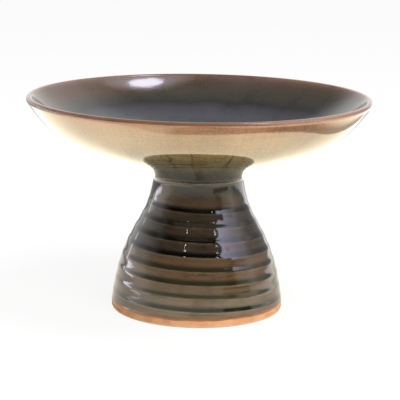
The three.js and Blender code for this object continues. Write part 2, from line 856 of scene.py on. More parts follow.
@dataclass(frozen=True)
class AshGlaze:
    """The dish's tan outside: orange where it is thin under the lip, olive by the foot, with painted
    shade there.
    """

    lip: Colour = srgb(122, 88, 64)
    band: LipBand = LipBand()
    # Tones by millimetres from the lip's crest. Towards the foot they turn dark olive: the glaze's own
    # olive, with painted shade of the foot laid over it.
    stops: Stops = (
        (2.0, srgb(152, 87, 48)),
        (6.0, srgb(143, 90, 48)),
        (11.0, srgb(132, 99, 58)),
        (30.0, srgb(138, 124, 80)),
        (48.0, srgb(108, 108, 74)),
        (57.0, srgb(80, 84, 57)),
        (70.0, srgb(64, 68, 47)),
        (78.0, srgb(60, 62, 44)),
    )
    sway: float = 6.0
    sway_scale: float = 4.0
    sway_detail: float = 4.0
    sway_starts: Range = (2.0, 10.0)
    cloud: Grain = Grain(0.07, 0.25, rough=0.55)
    fine: Grain = Grain(0.8, 0.35)
    streaks: Grain = Grain(34.0, 0.15, detail=2.0, rough=0.5)
    lines: Grain = Grain(0.8, 0.25, rough=0.65)
    lines_round: float = 5.0
    mottle: Mottle = Mottle(
        dark=srgb(150, 122, 92),
        plain=srgb(238, 226, 206),
        pale=srgb(255, 255, 255),
        low=0.38,
        high=0.58,
    )
    cracks: Cracks = Cracks()
    roughness: Range = (0.04, 0.08)
    relief: float = 0.1
    shine: Shine = Shine(ior=2.0, coat=1.0, coat_ior=1.5, tint=(1.0, 0.8, 0.55, 1.0))

    def material(self) -> bpy.types.Material:
        """Makes the ash glaze's material.

        Returns:
            The material, for the dish's outside.
        """
        material, graph = new_material(Slot.DISH.value)
        place = Place(graph)
        below = graph.product(graph.attribute(Mark.FROM_CREST), -1.0)
        sway = graph.wander(place.around, self.sway_scale, self.sway_detail, self.sway)
        run = graph.math("ADD", below, graph.product(sway, graph.ease(below, *self.sway_starts)))
        colour = graph.tones(run, self.stops, self.stops[-1][0])
        colour = graph.mix(self.band.over(graph, place, below), colour, self.lip)
        cloud = self.cloud.over(graph, place.spot)
        fine = self.fine.over(graph, place.spot)
        pattern = graph.weighted(
            (cloud, self.cloud.weight),
            (fine, self.fine.weight),
            (self.streaks.over(graph, place.around), self.streaks.weight),
            (self.lines.over(graph, place.brushed(self.lines_round, below)), self.lines.weight),
        )
        colour = self.mottle.over(graph, colour, pattern)
        colour = self.cracks.over(graph, place, below, colour)
        normal = graph.bump(cloud, self.relief)
        roughness = graph.ease(fine, *NOISE_RANGE, *self.roughness)
        finish_material(graph, self.shine.shader(graph, colour, roughness, normal))
        return material


@dataclass(frozen=True)
class InnerGlaze:
    """The dish's dark inside, which runs over the lip and is brown there.

    Sides are shares of the way from the axis to the left, below 0, or to the right.
    """

    blush: Colour = srgb(146, 96, 58)
    band: LipBand = LipBand()
    stops: Stops = (
        (0.0, srgb(116, 82, 60)),
        (3.0, srgb(98, 80, 70)),
        (6.0, srgb(80, 67, 58)),
        (10.0, srgb(70, 63, 55)),
        (17.0, srgb(60, 58, 53)),
        (21.0, srgb(51, 50, 48)),
        (26.0, srgb(66, 66, 72)),
        (33.0, srgb(76, 77, 82)),
        (84.0, srgb(62, 66, 72)),
    )
    sway: float = 9.0
    sway_scale: float = 3.0
    sway_detail: float = 4.0
    sway_starts: Range = (1.0, 12.0)
    # Painted highlight: a rosy sheen on the lip near its crest, at the right and at the left.
    painted_lip_sheen: Colour = srgb(158, 122, 108)
    painted_lip_sheen_runs: Range = (0.5, 3.5)
    painted_lip_sheen_right: Range = (0.2, 0.75)
    painted_lip_sheen_right_share: float = 0.6
    painted_lip_sheen_left: Range = (-0.8, -0.3)
    painted_lip_sheen_left_share: float = 0.35
    warm: Colour = srgb(98, 68, 44)
    warm_starts: Range = (2.0, 6.0)
    warm_ends: Range = (9.0, 17.0)
    warm_left: Range = (-0.7, 0.0)
    warm_left_share: float = 0.45
    cloud: Grain = Grain(0.08, 0.6, rough=0.55)
    fine: Grain = Grain(0.9, 0.4)
    mottle: Mottle = Mottle(
        dark=srgb(214, 212, 208),
        plain=srgb(255, 255, 255),
        pale=srgb(255, 248, 240),
        share=0.8,
    )
    roughness: Range = (0.07, 0.12)
    relief: float = 0.1
    shine: Shine = Shine(ior=1.5)

    def sides(self, graph: Graph, place: Place, run: Socket, colour: Socket) -> Socket:
        """Paints a rosy highlight on the lip at both sides and makes the glaze inside it warmer at the
        left.

        Args:
            graph: The material's graph.
            place: Where the shaded point lies.
            run: How far the point is inside the lip's crest, in millimetres.
            colour: The socket of the colour that is the same all round.

        Returns:
            The socket of the changed colour.
        """
        # Painted highlight on the lip at both sides, fading away from the crest.
        right = graph.ease(place.to_right, *self.painted_lip_sheen_right, 0.0, self.painted_lip_sheen_right_share)
        left = graph.ease(place.to_right, *self.painted_lip_sheen_left, self.painted_lip_sheen_left_share, 0.0)
        painted_lip_sheen = graph.product(graph.math("ADD", right, left), graph.fall(run, *self.painted_lip_sheen_runs))
        colour = graph.mix(painted_lip_sheen, colour, self.painted_lip_sheen)
        left = graph.ease(place.to_right, *self.warm_left, self.warm_left_share, 0.0)
        warm = graph.product(left, graph.between(run, self.warm_starts, self.warm_ends))
        return graph.mix(warm, colour, self.warm)

    def material(self) -> bpy.types.Material:
        """Makes the inner glaze's material.

        Returns:
            The material, for the dish's inside and lip.
        """
        material, graph = new_material("inner_glaze")
        place = Place(graph)
        run = graph.attribute(Mark.FROM_CREST)
        sway = graph.wander(place.around, self.sway_scale, self.sway_detail, self.sway)
        swayed = graph.math("ADD", run, graph.product(sway, graph.ease(run, *self.sway_starts)))
        colour = graph.tones(swayed, self.stops, self.stops[-1][0])
        band = self.band.over(graph, place, graph.product(run, -1.0))
        colour = self.sides(graph, place, run, graph.mix(band, self.blush, colour))
        cloud = self.cloud.over(graph, place.spot)
        fine = self.fine.over(graph, place.spot)
        pattern = graph.weighted((cloud, self.cloud.weight), (fine, self.fine.weight))
        colour = self.mottle.over(graph, colour, pattern)
        normal = graph.bump(cloud, self.relief)
        roughness = graph.ease(fine, *NOISE_RANGE, *self.roughness)
        finish_material(graph, self.shine.shader(graph, colour, roughness, normal))
        return material


@dataclass(frozen=True)
class RidgeGlaze:
    """The foot's dark iron glaze: brown on the ridges, blue-black where it pools above them."""

    top_z: float = 70.0
    # Ridge tones by height. They darken above about 35 mm: partly the glaze's own tone, partly painted
    # shadow of the dish over the upper foot.
    ridges: Stops = (
        (4.5, srgb(126, 90, 58)),
        (7.5, srgb(98, 87, 59)),
        (14.0, srgb(101, 82, 58)),
        (20.0, srgb(90, 68, 43)),
        (30.0, srgb(104, 81, 60)),
        (35.0, srgb(88, 70, 52)),
        (39.0, srgb(62, 52, 42)),
        (55.0, srgb(64, 54, 42)),
        (61.0, srgb(84, 68, 50)),
        (66.0, srgb(52, 48, 39)),
    )
    pools: Stops = (
        (9.5, srgb(14, 16, 7)),
        (16.0, srgb(58, 56, 38)),
        (22.5, srgb(38, 40, 25)),
        (30.0, srgb(44, 43, 28)),
        (34.0, srgb(20, 20, 14)),
        (36.0, srgb(10, 11, 9)),
        (43.0, srgb(10, 11, 9)),
        (50.0, srgb(30, 27, 20)),
        (57.0, srgb(5, 6, 6)),
    )
    # Crest tones by height, lighter where the glaze is thin on a crest. The stop at 68.6 mm falls on the
    # seam fillet and paints a highlight line there.
    crests: Stops = (
        (6.0, srgb(138, 118, 88)),
        (30.0, srgb(120, 100, 80)),
        (60.0, srgb(88, 76, 64)),
        (68.6, srgb(196, 186, 158)),
    )
    pool_patches: Range = (0.3, 0.55)
    pool_shares: Range = (0.88, 1.0)
    crest_clouds: Range = (0.35, 0.65)
    crest_shares: Range = (0.15, 0.55)
    glaze_end: Colour = srgb(156, 100, 62)
    glaze_end_share: float = 0.7
    # Painted light: the clay is drawn paler along the bottom edge of the standing ring.
    painted_edge_light: Colour = srgb(252, 220, 184)
    painted_edge_light_heights: Range = (0.4, 1.8)
    painted_edge_light_share: float = 0.7
    clay: BareClay = BareClay()
    cloud: Grain = Grain(0.1, 0.4)
    striae: Grain = Grain(1.1, 0.6, rough=0.65)
    striae_round: float = 4.0
    striae_relief: float = 0.2
    fine: Grain = Grain(1.1)
    patches: Grain = Grain(0.045, detail=2.0, rough=0.5)
    mottle: Mottle = Mottle(
        dark=srgb(164, 160, 156),
        plain=srgb(255, 250, 245),
        pale=srgb(255, 238, 218),
        share=0.65,
    )
    roughness: Range = (0.05, 0.1)
    relief: float = 0.1
    shine: Shine = Shine(ior=1.55)

    def colour(self, graph: Graph, place: Place, striae: Socket) -> Socket:
        """Adds the glaze's colour, with its mottle, crests, pools and lower edge.

        Args:
            graph: The material's graph.
            place: Where the shaded point lies.
            striae: The socket of the fine lines round the foot.

        Returns:
            The socket of the colour.
        """
        cloud = self.cloud.over(graph, place.spot)
        patches = self.patches.over(graph, place.spot)
        pooled = graph.ease(patches, *self.pool_patches, *self.pool_shares)
        pool = graph.product(graph.attribute(Mark.POOL), pooled)
        # On the foot this lightens the crests where the glaze is thin; on the seam fillet it draws the
        # painted highlight line.
        thinned_and_highlight = graph.ease(cloud, *self.crest_clouds, *self.crest_shares)
        crest = graph.product(graph.attribute(Mark.CREST), thinned_and_highlight)
        end = graph.product(graph.attribute(Mark.GLAZE_END), self.glaze_end_share)
        pattern = graph.weighted((cloud, self.cloud.weight), (striae, self.striae.weight))
        colour = graph.tones(place.z, self.ridges, self.top_z)
        colour = self.mottle.over(graph, colour, pattern)
        colour = graph.mix(crest, colour, graph.tones(place.z, self.crests, self.top_z))
        colour = graph.mix(pool, colour, graph.tones(place.z, self.pools, self.top_z))
        return graph.mix(end, colour, self.glaze_end)

    def material(self) -> bpy.types.Material:
        """Makes the foot's material, glaze above and bare clay on the standing ring.

        Returns:
            The material, which reads the marks that the foot's mesh keeps.
        """
        material, graph = new_material(Slot.FOOT.value)
        place = Place(graph)
        glazed = graph.attribute(Mark.GLAZED)
        bare = graph.rest(glazed)
        striae = self.striae.over(graph, place.brushed(self.striae_round, place.z))
        clay_colour, grain = self.clay.layers(graph, place)
        # Painted light along the bottom edge of the standing ring.
        painted_edge_light = graph.ease(place.z, *self.painted_edge_light_heights, self.painted_edge_light_share, 0.0)
        clay_colour = graph.mix(painted_edge_light, clay_colour, self.painted_edge_light)
        colour = graph.mix(glazed, clay_colour, self.colour(graph, place, striae))
        fine = self.fine.over(graph, place.spot)
        smooth = graph.ease(fine, *NOISE_RANGE, *self.roughness)
        roughness = graph.math(
            "ADD", graph.product(glazed, smooth), graph.product(bare, self.clay.roughness)
        )
        lines = graph.product(striae, self.striae_relief)
        normal = graph.bump(graph.math("ADD", lines, graph.product(grain, bare)), self.relief)
        finish_material(graph, self.shine.shader(graph, colour, roughness, normal))
        return material


@dataclass
class Dish:
    """The wide shallow dish: flat under its middle, a flaring underside, a round lip, a bowl."""

    rim_radius: float = 90.0
    plate_height: float = 113.0
    base_z: float = 70.6
    base_radius: float = 23.5
    lip_radius: float = 1.7
    lip_start: float = -34.0
    lip_end: float = 140.0
    floor_radius: float = 12.0
    floor_z: float = 77.5
    overlap: float = 2.6
    bare_radius: float = 20.0
    steps: int = 90
    lip_steps: int = 24
    segments: int = 288
    underside_shape: Sweep = Sweep(leaves=23.5, leaves_for=43, arrives=56, arrives_for=28)
    bowl_shape: Sweep = Sweep(leaves=230, leaves_for=17, arrives=184.5, arrives_for=38)
    outside_glaze: AshGlaze = field(default_factory=AshGlaze)
    inside_glaze: InnerGlaze = field(default_factory=InnerGlaze)

    def lip(self) -> list[Point]:
        """Gives the lip's round roll, from its outside over its crest to its inside."""
        centre = (self.rim_radius - self.lip_radius, self.plate_height - self.lip_radius)
        return arc(centre, self.lip_radius, self.lip_start, self.lip_end, self.lip_steps)

    def underside(self) -> Bend:
        """Gives the outside, from the seam out to the lip."""
        return self.underside_shape.between((self.base_radius, self.base_z), self.lip()[0])

    def bowl(self) -> Bend:
        """Gives the inside, from the lip down to the floor."""
        return self.bowl_shape.between(self.lip()[-1], (self.floor_radius, self.floor_z))

    def build(self, clay: bpy.types.Material) -> bpy.types.Object:
        """Makes the dish's mesh and dresses each side in its own glaze.

        Args:
            clay: The bare clay, for the part of the base that the foot's hollow leaves open.

        Returns:
            The dressed dish.
        """
        outline = [(0.0, self.base_z), (self.base_radius / 2, self.base_z)]
        outline += self.underside().points(self.steps)
        outline += self.lip()[1:]
        outline += self.bowl().points(self.steps)[1:]
        outline += [(self.floor_radius / 2, self.floor_z), (0.0, self.floor_z)]
        crest = max(range(len(outline)), key=lambda index: outline[index][1])
        runs = [0.0]
        for first, second in zip(outline, outline[1:]):
            runs.append(runs[-1] + math.dist(first, second))
        from_crest = [run - runs[crest] for run in runs]
        marks = {Mark.FROM_CREST: from_crest}
        piece = turn("glazed_dish", outline, marks, self.segments, closed=False)
        finishes = {
            Side.OUTSIDE: self.outside_glaze.material(),
            Side.INSIDE: self.inside_glaze.material(),
            Side.BARE: clay,
        }
        for side in Side:
            piece.data.materials.append(finishes[side])
        self.assign(piece.data)
        return piece

    def assign(self, mesh: bpy.types.Mesh) -> None:
        """Gives each face its finish: ash outside, dark inside and over the lip, clay under it.

        Args:
            mesh: The dish's mesh, with its distances from the lip's crest.
        """
        from_crest = mesh.attributes[Mark.FROM_CREST.value].data
        for face in mesh.polygons:
            run = sum(from_crest[index].value for index in face.vertices) / len(face.vertices)
            if run > -self.overlap:
                face.material_index = Side.INSIDE.value
            elif math.hypot(face.center.x, face.center.y) < self.bare_radius * MM:
                face.material_index = Side.BARE.value


class WallPoint:
    """A point of the foot's mesh in the spiral's tree: where it lies and on which side."""

    def __init__(self, graph: Graph) -> None:
        """Adds the nodes that read it, in millimetres.

        Args:
            graph: The spiral tree's graph.
        """
        spot = graph.scaled(graph.add("GeometryNodeInputPosition").outputs[0], 1 / MM)
        self.x, self.y, self.z = graph.split(spot)
        self.outward = graph.unit(graph.vector(self.x, self.y, 0.0))
        stored = graph.add("GeometryNodeInputNamedAttribute", data_type="FLOAT")
        stored.inputs["Name"].default_value = Mark.ON_OUTSIDE.value
        self.on_outside = stored.outputs[0]


@dataclass
class PedestalFoot:
    """The hollow foot with the potter's spiral round it and a bare standing ring."""

    neck_radius: float = 23.8
    foot_radius: float = 45.5
    top_z: float = 69.2
    wall: float = 5.9
    wall_end_z: float = 3.0
    ring_round: float = 1.5
    ring_bevel: float = 0.8
    pitch: float = 6.8
    depth: float = 0.18
    inside_depth: float = 0.2
    groove_top_z: float = 55.8
    drift: float = 0.4
    turns: float = 7.0
    deepest: float = 0.62
    fades_low: Range = (4.5, 8.0)
    fades_high: Range = (56.0, 62.0)
    softer_low: Range = (26.0, 42.0)
    softer_share: float = 0.75
    pool_starts: Range = (0.42, 0.8)
    pool_ends: Range = (0.955, 0.99)
    pool_fades_high: Range = (59.0, 61.5)
    crest_below: Range = (0.0, 0.16)
    crest_above: Range = (0.95, 1.0)
    glaze_edge_z: float = 3.9
    glaze_edge_waver: float = 1.6
    waver_scale: float = 3.0
    waver_detail: float = 3.0
    glaze_edge_blend: Range = (-0.2, 0.2)
    glaze_thickness: float = 0.25
    bead_rise: Range = (-0.1, 0.4)
    bead_fall: Range = (0.4, 1.6)
    bead_height: float = 0.1
    segments: int = 300
    row: float = 0.3
    edge_steps: int = 10
    outside_shape: Sweep = Sweep(leaves=-82.7, leaves_for=26, arrives=-84.3, arrives_for=41.4)
    inside_shape: Sweep = Sweep(leaves=94.9, leaves_for=39.6, arrives=96.9, arrives_for=27.4)
    glaze: RidgeGlaze = field(default_factory=RidgeGlaze)

    def outer(self) -> Bend:
        """Gives the outer wall from the neck down to the standing ring."""
        top, bottom = (self.neck_radius, self.top_z), (self.foot_radius, self.wall_end_z)
        return self.outside_shape.between(top, bottom)

    def inner(self) -> Bend:
        """Gives the inner wall from the standing ring up to the neck."""
        bevel = (self.foot_radius - self.wall - self.ring_bevel, self.ring_bevel)
        return self.inside_shape.between(bevel, (self.neck_radius - self.wall, self.top_z))

    def build(self) -> bpy.types.Object:
        """Makes the foot's mesh and presses the spiral into it with geometry nodes.

        Returns:
            The dressed foot.
        """
        outer = self.outer()
        tall = self.top_z - self.wall_end_z
        rows = int(tall / self.row)
        heights = [self.top_z - tall * index / rows for index in range(rows + 1)]
        outline = [(outer.radius_at(height), height) for height in heights]
        round_centre = (self.foot_radius - self.ring_round, self.ring_round)
        outline += [(self.foot_radius, (self.wall_end_z + self.ring_round) / 2)]
        outline += arc(round_centre, self.ring_round, 0, -90, self.edge_steps)
        on_outside = [1.0] * len(outline)
        outline += [(self.foot_radius - self.wall, 0.0)]
        outline += self.inner().points(rows)
        on_outside += [0.0] * (len(outline) - len(on_outside))
        marks = {Mark.ON_OUTSIDE: on_outside}
        piece = turn("glazed_foot", outline, marks, self.segments, closed=True)
        material = self.glaze.material()
        piece.data.materials.append(material)
        return press(piece, self.spiral_tree(material), self.sizes())

    def sizes(self) -> dict[str, float]:
        """Gives the spiral's sizes by the names of the tree's inputs.

        Returns:
            A number for each input but the geometry.
        """
        return {
            "Pitch": self.pitch,
            "Depth": self.depth,
            "Inside Depth": self.inside_depth,
            "Top Height": self.groove_top_z,
            "Drift": self.drift,
            "Turns": self.turns,
            "Deepest Share": self.deepest,
            "Glaze Edge": self.glaze_edge_z,
            "Glaze Thickness": self.glaze_thickness,
        }

    def spiral_tree(self, material: bpy.types.Material) -> bpy.types.NodeTree:
        """Makes the tree that presses one continuous groove down the wall.

        Args:
            material: The material that the tree sets.

        Returns:
            A geometry node tree whose inputs are named for the spiral's sizes.
        """
        tree = bpy.data.node_groups.new("throwing_spiral", "GeometryNodeTree")
        tree.interface.new_socket("Geometry", in_out="INPUT", socket_type="NodeSocketGeometry")
        for name in self.sizes():
            tree.interface.new_socket(name, in_out="INPUT", socket_type="NodeSocketFloat")
        tree.interface.new_socket("Geometry", in_out="OUTPUT", socket_type="NodeSocketGeometry")
        graph = Graph(tree)
        given = graph.add("NodeGroupInput").outputs
        point = WallPoint(graph)
        phase = self.phase(graph, given, point)
        fade = graph.between(point.z, self.fades_low, self.fades_high)
        groove = graph.product(self.groove(graph, given, phase), fade)
        glazed, bead = self.glaze_end(graph, given, point)
        taken_off = self.taken_off(graph, given, point, groove, glazed)
        inset = graph.math("SUBTRACT", taken_off, self.put_on(graph, given, point, groove, bead))
        moved = graph.add("GeometryNodeSetPosition")
        graph.feed(moved.inputs["Geometry"], given["Geometry"])
        offset = graph.scaled(point.outward, graph.product(inset, -MM))
        graph.feed(moved.inputs["Offset"], offset)
        kept = self.pools_and_crests(graph, point, phase, fade)
        kept |= {Mark.GLAZED: glazed, Mark.GLAZE_END: bead}
        real = graph.add("GeometryNodeRealizeInstances")
        graph.feed(real.inputs[0], graph.store(moved.outputs["Geometry"], kept))
        dressed = graph.add("GeometryNodeSetMaterial")
        graph.feed(dressed.inputs["Geometry"], real.outputs[0])
        dressed.inputs["Material"].default_value = material
        output = graph.add("NodeGroupOutput")
        graph.feed(output.inputs[0], dressed.outputs[0])
        return tree

    def phase(self, graph: Graph, given: bpy.types.NodeOutputs, point: WallPoint) -> Socket:
        """Winds the groove: gives how far a point is below the crest above it.

        Args:
            graph: The spiral tree's graph.
            given: The tree's inputs.
            point: The point of the wall.

        Returns:
            The socket of the share of a turn, from 0 at a crest to 1 at the next one down.
        """
        angle = graph.math("ARCTAN2", point.x, graph.product(point.y, -1.0))
        drop = graph.math("SUBTRACT", given["Top Height"], point.z)
        below = graph.math("DIVIDE", drop, given["Pitch"])
        share = graph.math("DIVIDE", below, given["Turns"], clamp=True)
        swell = graph.math("POWER", graph.math("SINE", graph.product(share, math.pi)), 2.0)
        drift = graph.product(graph.math("DIVIDE", given["Drift"], given["Pitch"]), swell)
        wound = graph.math("ADD", drift, graph.math("DIVIDE", angle, 2 * math.pi))
        return graph.math("FRACT", graph.math("SUBTRACT", below, wound))

    def groove(self, graph: Graph, given: bpy.types.NodeOutputs, phase: Socket) -> Socket:
        """Shapes the groove: it sinks slowly and comes back out over a short shoulder.

        Args:
            graph: The spiral tree's graph.
            given: The tree's inputs.
            phase: The share of a turn below the crest.

        Returns:
            The socket of a number that is 0 on a crest and 1 where the groove is deepest.
        """
        sinking = graph.ease(phase, 0.0, given["Deepest Share"])
        shoulder = graph.fall(phase, given["Deepest Share"], 1.0)
        return graph.math("MINIMUM", sinking, shoulder)

    def glaze_end(
        self, graph: Graph, given: bpy.types.NodeOutputs, point: WallPoint
    ) -> tuple[Socket, Socket]:
        """Finds where the glaze stops above the standing ring, along a wavering edge.

        Args:
            graph: The spiral tree's graph.
            given: The tree's inputs.
            point: The point of the wall.

        Returns:
            The sockets of two numbers: 1 where the glaze is, and 1 on the bead at its edge.
        """
        waver = graph.wander(
            point.outward, self.waver_scale, self.waver_detail, self.glaze_edge_waver
        )
        edge = graph.math("ADD", given["Glaze Edge"], waver)
        above_edge = graph.math("SUBTRACT", point.z, edge)
        glazed = graph.ease(above_edge, *self.glaze_edge_blend)
        bead = graph.between(above_edge, self.bead_rise, self.bead_fall)
        return graph.product(glazed, point.on_outside), graph.product(bead, point.on_outside)

    def taken_off(
        self,
        graph: Graph,
        given: bpy.types.NodeOutputs,
        point: WallPoint,
        groove: Socket,
        glazed: Socket,
    ) -> Socket:
        """Gives how far the outside moves inward, by the groove and where the glaze is missing.

        Args:
            graph: The spiral tree's graph.
            given: The tree's inputs.
            point: The point of the wall.
            groove: 1 where the groove is deepest.
            glazed: 1 where the glaze is.

        Returns:
            The socket of the depth, in millimetres.
        """
        softer = graph.ease(point.z, *self.softer_low, self.softer_share, 1.0)
        pressed = graph.product(groove, given["Depth"], softer, point.on_outside)
        bare = graph.product(graph.rest(glazed), point.on_outside)
        return graph.math("ADD", pressed, graph.product(bare, given["Glaze Thickness"]))

    def put_on(
        self,
        graph: Graph,
        given: bpy.types.NodeOutputs,
        point: WallPoint,
        groove: Socket,
        bead: Socket,
    ) -> Socket:
        """Gives how far a point moves outward: on the bead, and on the inner wall by its groove.

        Args:
            graph: The spiral tree's graph.
            given: The tree's inputs.
            point: The point of the wall.
            groove: 1 where the groove is deepest.
            bead: 1 on the bead at the glaze's edge.

        Returns:
            The socket of the height, in millimetres.
        """
        thrown = graph.product(groove, given["Inside Depth"], graph.rest(point.on_outside))
        return graph.math("ADD", graph.product(bead, self.bead_height), thrown)

    def pools_and_crests(
        self, graph: Graph, point: WallPoint, phase: Socket, fade: Socket
    ) -> dict[Mark, Socket]:
        """Finds where the glaze pools above a crest and where it is thin on one.

        Args:
            graph: The spiral tree's graph.
            point: The point of the wall.
            phase: The share of a turn below the crest.
            fade: 1 along the spiral and 0 past its ends.

        Returns:
            The socket of each mark's number.
        """
        pool = graph.between(phase, self.pool_starts, self.pool_ends)
        pooled = graph.between(point.z, self.fades_low, self.pool_fades_high)
        crest = graph.math(
            "MAXIMUM", graph.fall(phase, *self.crest_below), graph.ease(phase, *self.crest_above)
        )
        return {
            Mark.POOL: graph.product(pool, pooled, point.on_outside),
            Mark.CREST: graph.product(crest, fade, point.on_outside),
        }


def press(
    piece: bpy.types.Object, tree: bpy.types.NodeTree, sizes: dict[str, float]
) -> bpy.types.Object:
    """Runs a geometry node tree on a piece and keeps the result as its plain mesh.

    Args:
        piece: The mesh object.
        tree: The geometry node tree.
        sizes: A number for each named input.

    Returns:
        The same object, with no modifier left on it.
    """
    modifier = piece.modifiers.new(tree.name, "NODES")
    modifier.node_group = tree
    identifiers = {
        item.name: item.identifier
        for item in tree.interface.items_tree
        if item.item_type == "SOCKET" and item.in_out == "INPUT"
    }
    for name, size in sizes.items():
        modifier[identifiers[name]] = size
    bpy.context.view_layer.update()
    evaluated = piece.evaluated_get(bpy.context.evaluated_depsgraph_get())
    mesh = bpy.data.meshes.new_from_object(evaluated)
    piece.modifiers.remove(modifier)
    piece.data = mesh
    mesh.name = piece.name
    return piece


@dataclass
class Seam:
    """What joins the dish to the foot: clay wiped into the outside corner and a coil inside."""

    foot: PedestalFoot
    dish: Dish
    low_z: float = 68.5
    reach: float = 26.3
    drawn_in: float = 0.4
    drawn_out: float = 0.5
    drawn_up: float = 0.1
    sunk: float = 0.04
    back_sunk: float = 0.12
    # Where the painted highlight line lies along the fillet, as a share of it, and how wide it is.
    painted_highlight_at: float = 0.62
    painted_highlight_width: float = 0.16
    pool_share: float = 0.35
    fillet_steps: int = 24
    coil_radius: float = 2.6
    clearance: float = 0.5
    gap: float = 0.3
    coil_steps: int = 24
    segments: int = 192

    def fillet(self, glaze: bpy.types.Material) -> bpy.types.Object:
        """Makes the small glazed hollow from the foot's wall out to the dish's underside.

        Args:
            glaze: The foot's glaze.

        Returns:
            The dressed fillet.
        """
        underside = self.dish.underside()
        out = underside.at(underside.share_where(0, self.reach))
        start = (self.foot.outer().radius_at(self.low_z) - self.sunk, self.low_z)
        end = (out[0], out[1] + self.sunk)
        corner = (start[0] + self.sunk, self.dish.base_z)
        lean = (corner[0], corner[1] - self.drawn_in)
        pull = (corner[0] + self.drawn_out, corner[1] + self.drawn_up)
        outline = Bend(start, lean, pull, end).points(self.fillet_steps)
        back = self.foot.neck_radius - self.back_sunk
        behind = [(back, self.dish.base_z + self.sunk), (back, self.low_z)]
        spare = [0.0] * len(behind)
        shares = [index / self.fillet_steps for index in range(len(outline))]
        # Painted highlight: a pale line along the fillet, set in the crest mark; the pool mark darkens
        # the rest of it.
        line = [math.exp(-(((share - self.painted_highlight_at) / self.painted_highlight_width) ** 2)) for share in shares]
        outline += behind
        marks = {
            Mark.GLAZED: [1.0] * len(outline),
            Mark.CREST: line + spare,
            Mark.POOL: [self.pool_share * (1 - value) for value in line] + spare,
        }
        piece = turn("seam_fillet", outline, marks, self.segments, closed=True)
        piece.data.materials.append(glaze)
        return piece

    def coil(self, clay: bpy.types.Material) -> bpy.types.Object:
        """Makes the clay coil in the corner inside the foot.

        Args:
            clay: The bare clay.

        Returns:
            The dressed coil.
        """
        outer = self.foot.neck_radius - self.foot.wall - self.clearance
        centre = (outer - self.coil_radius, self.dish.base_z - self.gap - self.coil_radius)
        outline = arc(centre, self.coil_radius, 0, 360, self.coil_steps)[:-1]
        piece = turn("seam_coil", outline, {}, self.segments, closed=True)
        piece.data.materials.append(clay)
        return piece


WHITE: Light = (1.0, 1.0, 1.0)
LILAC: Light = (0.84, 0.84, 1.0)
WARM: Light = (1.0, 0.86, 0.72)
SKY: Light = (0.75, 0.75, 1.0)
BRIGHT_SKY: Light = (0.93, 0.95, 1.1)


def towards(azimuth: float, height: float) -> Vector:
    """Gives a direction, from degrees round to the right of the front and degrees up.

    Args:
        azimuth: The degrees round.
        height: The degrees up.

    Returns:
        A vector of length 1.
    """
    round_by, up_by = math.radians(azimuth), math.radians(height)
    flat = math.cos(up_by)
    return Vector((math.sin(round_by) * flat, -math.cos(round_by) * flat, math.sin(up_by)))


@dataclass(frozen=True)
class Lamp:
    """A square soft lamp that faces the plate and that the glaze doesn't mirror."""

    name: str
    azimuth: float
    height: float
    reach: float
    size: float
    power: float

    def build(self, centre: Vector) -> None:
        """Adds the lamp.

        Args:
            centre: The point that it faces and that its reach is measured from.
        """
        data = bpy.data.lights.new(self.name, "AREA")
        data.size = self.size
        data.energy = self.power
        lamp = bpy.data.objects.new(self.name, data)
        outward = towards(self.azimuth, self.height)
        lamp.location = centre + outward * self.reach
        lamp.rotation_mode = "QUATERNION"
        lamp.rotation_quaternion = outward.to_track_quat("Z", "Y")
        lamp.visible_camera = False
        lamp.visible_glossy = False
        bpy.context.scene.collection.objects.link(lamp)


@dataclass(frozen=True)
class Patch:
    """A bright or dark patch of the room, seen only in the glaze.

    Its size is half its width and half its height on a plane a metre away, turned by its spin in
    degrees. Its edge is soft over a share of that, its strength is added to the room's, and its
    fade is the share of it that is lost at its right side.
    """

    name: str
    azimuth: float
    height: float
    size: Point
    strength: float
    colour: Light = WHITE
    spin: float = 0.0
    soft: float = 0.1
    fade: float = 0.0
    oval: bool = False

    def glow(self, graph: Graph, direction: Socket) -> Socket:
        """Adds the nodes of the patch.

        Args:
            graph: The world's graph.
            direction: Where a ray goes.

        Returns:
            The socket of the light that it adds there.
        """
        centre = towards(self.azimuth, self.height)
        level = towards(self.azimuth + 90, 0)
        turned = Quaternion(centre, math.radians(self.spin))
        right, up = turned @ level, turned @ centre.cross(level)
        ahead = graph.dot(direction, centre)
        across = graph.math("DIVIDE", graph.dot(direction, right), ahead)
        along = graph.math("DIVIDE", graph.dot(direction, up), ahead)
        near, far = 1 - self.soft, 1 + self.soft
        shares = [
            graph.math("ABSOLUTE", graph.math("DIVIDE", value, half))
            for value, half in ((across, self.size[0]), (along, self.size[1]))
        ]
        if self.oval:
            seen = graph.fall(graph.length(*shares), near, far)
        else:
            seen = graph.product(*(graph.fall(share, near, far) for share in shares))
        seen = graph.product(seen, graph.math("GREATER_THAN", ahead, 0.0))
        dimmed = graph.math("ADD", graph.math("DIVIDE", across, self.size[0]), 1.0)
        kept = graph.math("SUBTRACT", 1.0, graph.product(dimmed, self.fade / 2), clamp=True)
        seen = graph.product(seen, kept)
        return graph.scaled(self.colour, graph.product(seen, self.strength))


def tinted(light: Light) -> Colour:
    """Gives a light's tint as a colour."""
    return (*light, 1.0)


